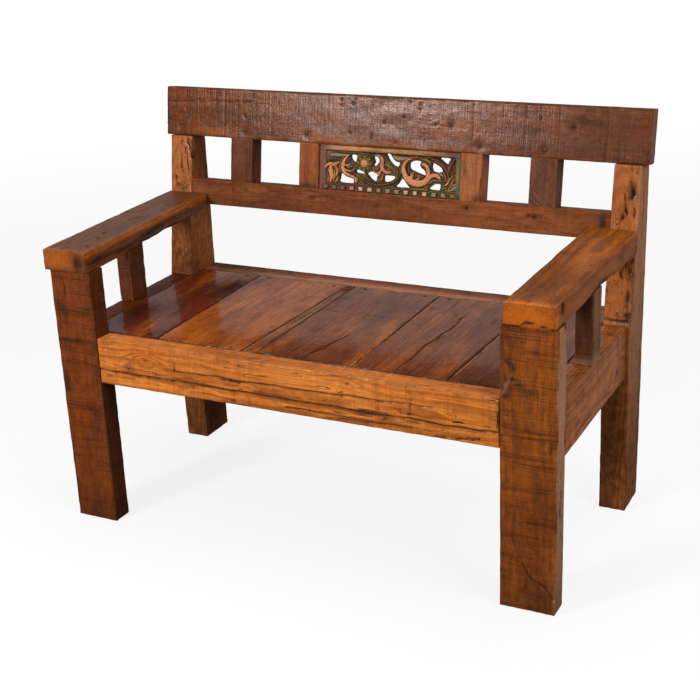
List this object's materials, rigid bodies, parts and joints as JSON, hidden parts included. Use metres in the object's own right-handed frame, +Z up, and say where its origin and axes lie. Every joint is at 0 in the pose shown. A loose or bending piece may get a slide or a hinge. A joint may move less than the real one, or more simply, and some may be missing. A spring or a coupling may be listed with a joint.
{
  "type": "wooden bench",
  "caption": "Rustic reclaimed-timber bench with flat arms, a board seat and a raked back that holds a pierced, carved and painted scroll panel.",
  "frame": {"origin": "on the floor, in the middle of the bench's width and depth", "axes": "+X along the bench, to the right seen from the front; +Y towards the back; +Z up"},
  "size_m": [1.192, 0.5952, 0.8998],
  "materials": {
    "dark_timber": "varnished, saw-marked",
    "brown_timber": "varnished",
    "orange_timber": "varnished",
    "red_timber": "high-gloss varnish",
    "carved_paint": "old matt paint over carving",
    "hidden_timber": "raw sawn",
    "peg_timber": "varnished end grain",
    "iron_nail": "dull, rusted"
  },
  "bodies": {
    "root": {"front_leg_left": "brown_timber", "back_post_left": "orange_timber", "side_rail_left": "brown_timber", "arm_left": "brown_timber", "arm_baluster_left": "dark_timber", "front_leg_right": "brown_timber", "back_post_right": "orange_timber", "side_rail_right": "brown_timber", "arm_right": "brown_timber", "arm_baluster_right": "dark_timber", "front_rail": "orange_timber", "rear_rail": "brown_timber", "front_cleat": "hidden_timber", "rear_cleat": "hidden_timber", "seat_board_1": "red_timber", "seat_board_2": "red_timber", "seat_board_3": "red_timber", "seat_board_4": "red_timber", "seat_board_5": "red_timber", "seat_filler_strip": "red_timber", "crest_rail": "dark_timber", "lower_back_rail": "brown_timber", "back_block_1": "dark_timber", "back_block_2": "orange_timber", "back_block_3": "orange_timber", "back_block_4": "dark_timber", "carved_panel": "carved_paint", "leg_pegs": "peg_timber", "crest_pegs": "peg_timber", "back_rail_pegs": "peg_timber", "post_pegs": "peg_timber", "seat_nails": "iron_nail", "arm_nails": "iron_nail"}
  },
  "joints": []
}
